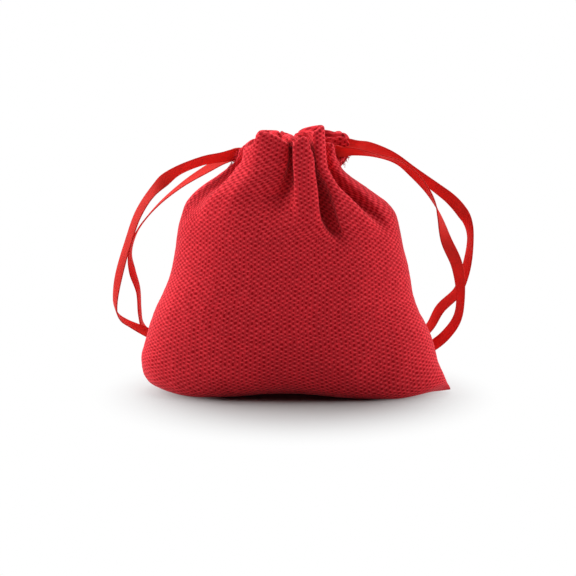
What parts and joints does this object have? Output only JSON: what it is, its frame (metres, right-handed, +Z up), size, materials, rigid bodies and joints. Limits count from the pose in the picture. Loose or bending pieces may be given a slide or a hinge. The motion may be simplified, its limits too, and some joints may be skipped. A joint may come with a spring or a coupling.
{
  "type": "drawstring pouch",
  "caption": "Small drawstring gift pouch of coarse red linen, standing filled out, with a gathered neck and two flat satin ribbon drawstrings that loop out at the sides and are knotted behind.",
  "frame": {"origin": "centre of the pouch's plan box, on the surface that it stands on", "axes": "+X to the pouch's right as the front is seen, -Y out of its front, +Z up through the mouth"},
  "size_m": [0.0913, 0.0464, 0.0666],
  "materials": {
    "red_linen": "coarse plain weave, matte",
    "red_satin": "flat satin ribbon, soft sheen"
  },
  "bodies": {
    "root": {"pouch_body": "red_linen", "left_ribbon": "red_satin", "right_ribbon": "red_satin", "left_knot": "red_satin", "right_knot": "red_satin"}
  },
  "joints": []
}
